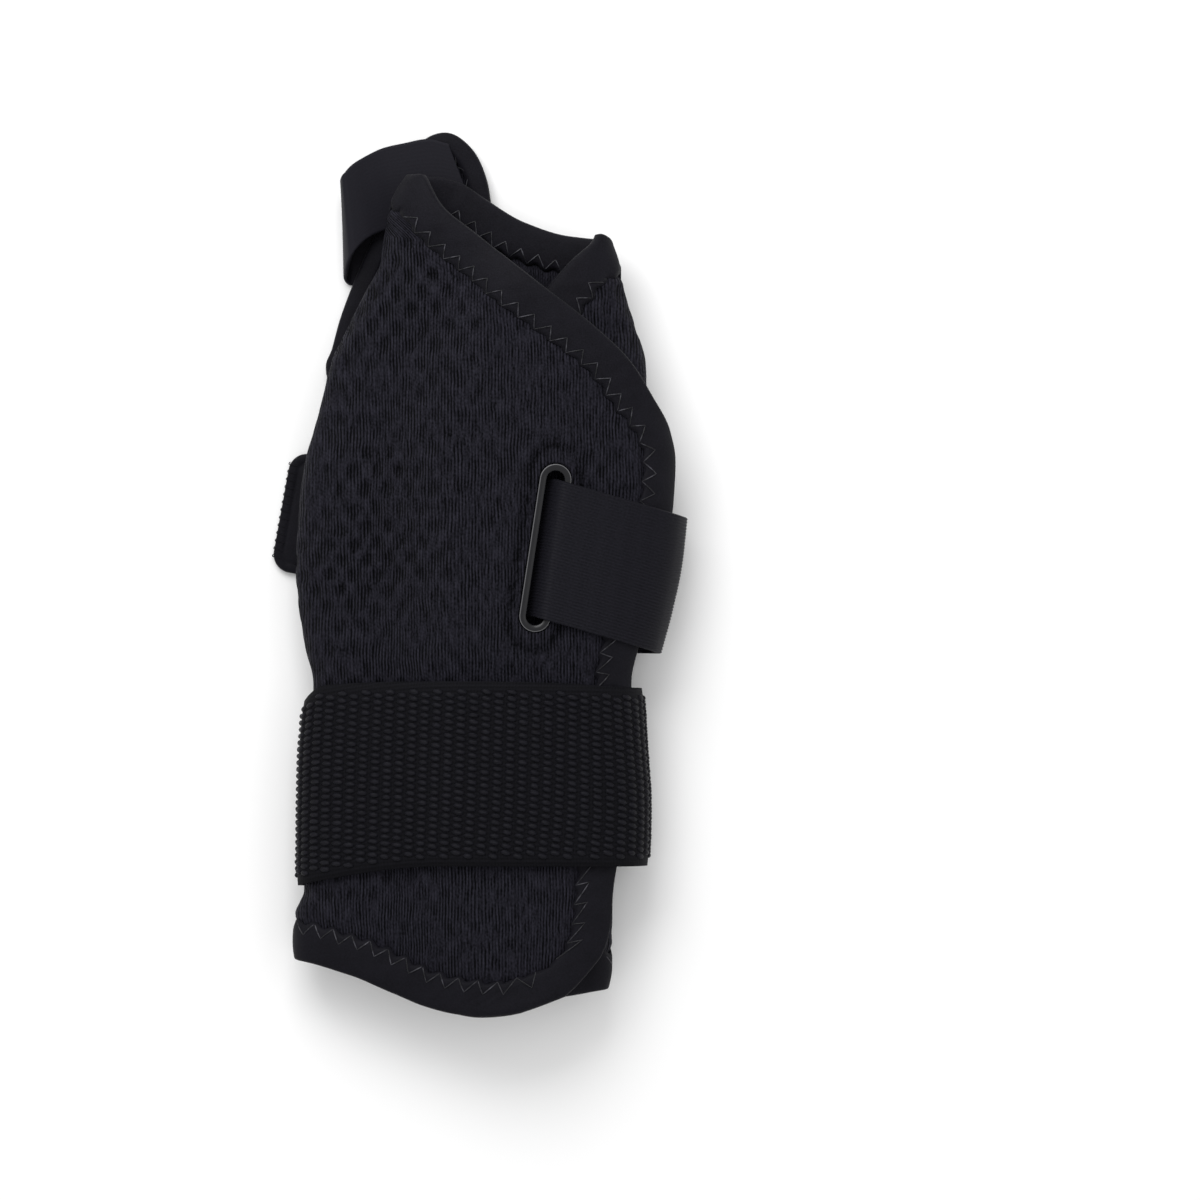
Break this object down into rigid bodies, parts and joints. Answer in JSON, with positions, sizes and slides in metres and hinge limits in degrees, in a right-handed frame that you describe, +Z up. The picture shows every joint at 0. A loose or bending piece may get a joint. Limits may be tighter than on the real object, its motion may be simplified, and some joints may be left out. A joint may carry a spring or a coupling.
{
  "type": "thumb spica splint",
  "caption": "Padded wrist and thumb wrap lying closed on its back, with a wide wrist strap, a hand strap through a slot and a thumb loop on a tongue.",
  "frame": {"origin": "middle of the bounding box on the surface that the wrap lies on", "axes": "+X to the right seen from above, across the wrap; +Y along the wrap from the forearm end to the thumb end; +Z up, from the back that it lies on to the front"},
  "size_m": [0.1114, 0.2392, 0.0309],
  "materials": {
    "spacer_mesh": "matt near-black knitted spacer mesh",
    "binding_tape": "smooth near-black edge tape with zigzag stitches",
    "rim_plastic": "satin black moulded rim",
    "ribbed_elastic": "near-black elastic with fine ribs along it",
    "hook_tape": "near-black hook tape with a stitched edge",
    "woven_webbing": "black coarse woven webbing with plain selvedges",
    "smooth_elastic": "smooth near-black elastic band"
  },
  "bodies": {
    "root": {"body_panel": "spacer_mesh", "panel_binding": "binding_tape", "slot_rim": "rim_plastic", "hand_strap": "ribbed_elastic", "hand_strap_tab": "hook_tape", "wrist_strap": "woven_webbing", "thumb_strap": "smooth_elastic", "thumb_tongue": "spacer_mesh", "tongue_binding": "binding_tape"}
  },
  "joints": []
}
